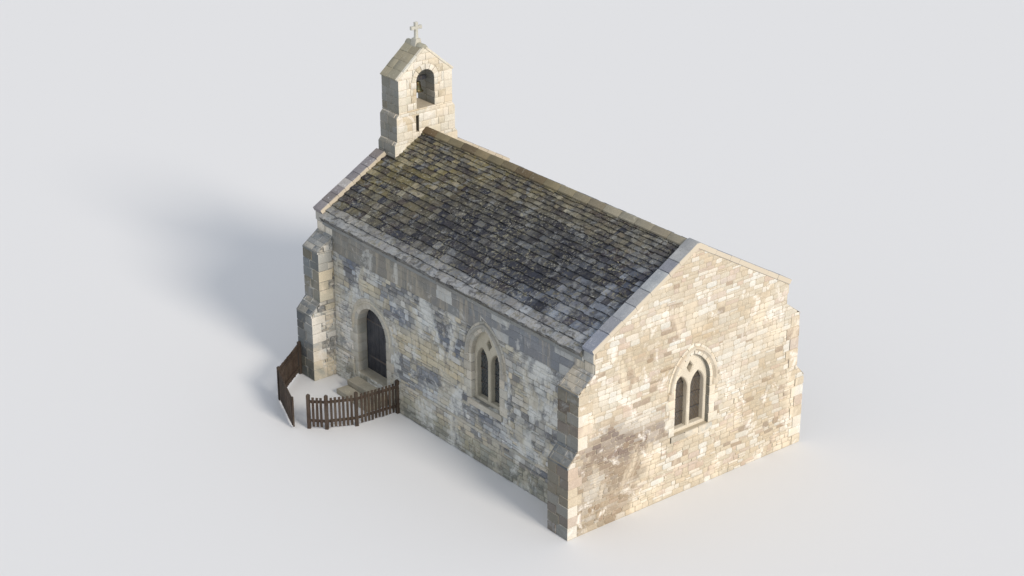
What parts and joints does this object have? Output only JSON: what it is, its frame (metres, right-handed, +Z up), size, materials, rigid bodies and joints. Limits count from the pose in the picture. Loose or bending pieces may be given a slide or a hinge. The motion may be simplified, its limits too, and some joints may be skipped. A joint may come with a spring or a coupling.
{
  "type": "small stone chapel",
  "caption": "Gabled single-cell stone chapel with corner buttresses, traceried windows, a bellcote with a hanging bell, an arched plank door and a timber pen with a gate.",
  "frame": {"origin": "middle of the chapel's plan, on the ground", "axes": "+X east along the ridge, +Y north, +Z up; the door and the pen are on the south side"},
  "size_m": [12.105, 10.3021, 9.8512],
  "materials": {
    "rubble_stone": "coursed rough limestone",
    "dressed_stone": "weathered dressed limestone",
    "roof_slate": "riven stone slates",
    "floor_stone": "worn flags",
    "door_oak": "dark weathered boards",
    "fence_wood": "dark stained timber",
    "iron": "forged and weathered",
    "bell_bronze": "dull aged bronze",
    "leaded_glass": "old leaded panes"
  },
  "bodies": {
    "chapel": {"floor_slab": "floor_stone", "south_wall_west": "rubble_stone", "south_wall_over_door": "rubble_stone", "south_wall_east": "rubble_stone", "north_wall": "rubble_stone", "east_gable_wall": "rubble_stone", "west_gable_wall": "rubble_stone", "buttress_southeast": "rubble_stone", "buttress_southwest": "rubble_stone", "buttress_northeast": "rubble_stone", "buttress_northwest": "rubble_stone", "plinth_courses": "dressed_stone", "eaves_courses": "dressed_stone", "roof_slope_south": "roof_slate", "roof_slope_north": "roof_slate", "ridge_stones": "dressed_stone", "coping_east": "dressed_stone", "coping_west_south": "dressed_stone", "coping_west_north": "dressed_stone", "kneelers": "dressed_stone", "bellcote_base": "dressed_stone", "bellcote_piers": "dressed_stone", "bellcote_arch_head": "dressed_stone", "bellcote_roof": "dressed_stone", "bellcote_cross": "dressed_stone", "door_surround": "dressed_stone", "door_sill": "dressed_stone", "door_steps": "dressed_stone", "hood_moulds": "dressed_stone", "south_window_tracery": "dressed_stone", "south_window_glass": "leaded_glass", "north_window_tracery": "dressed_stone", "north_window_glass": "leaded_glass", "east_window_tracery": "dressed_stone", "east_window_glass": "leaded_glass", "fence_posts": "fence_wood", "fence_panel_east": "fence_wood", "fence_panel_southeast": "fence_wood", "fence_panel_south": "fence_wood", "fence_panel_west": "fence_wood", "hinge_pins": "iron"},
    "door": {"door_leaf": "door_oak", "door_ironwork": "iron"},
    "gate": {"gate_leaf": "fence_wood", "gate_ironwork": "iron"},
    "bell": {"bell": "bell_bronze", "bell_headstock": "door_oak", "bell_clapper": "iron"}
  },
  "joints": [
    {"name": "door_hinge", "type": "hinge", "parent": "chapel", "child": "door", "pos_m": [-4.25, -2.88, 0], "axis": [0, 0, 1], "range_deg": [0, 95]},
    {"name": "gate_hinge", "type": "hinge", "parent": "chapel", "child": "gate", "pos_m": [-4.83448, -5.52463, 0], "axis": [0, 0, 1], "range_deg": [-75, 11]},
    {"name": "bell_swing", "type": "hinge", "parent": "chapel", "child": "bell", "pos_m": [-5.6, 0, 8.2], "axis": [0, 1, 0], "range_deg": [-50, 50]}
  ]
}
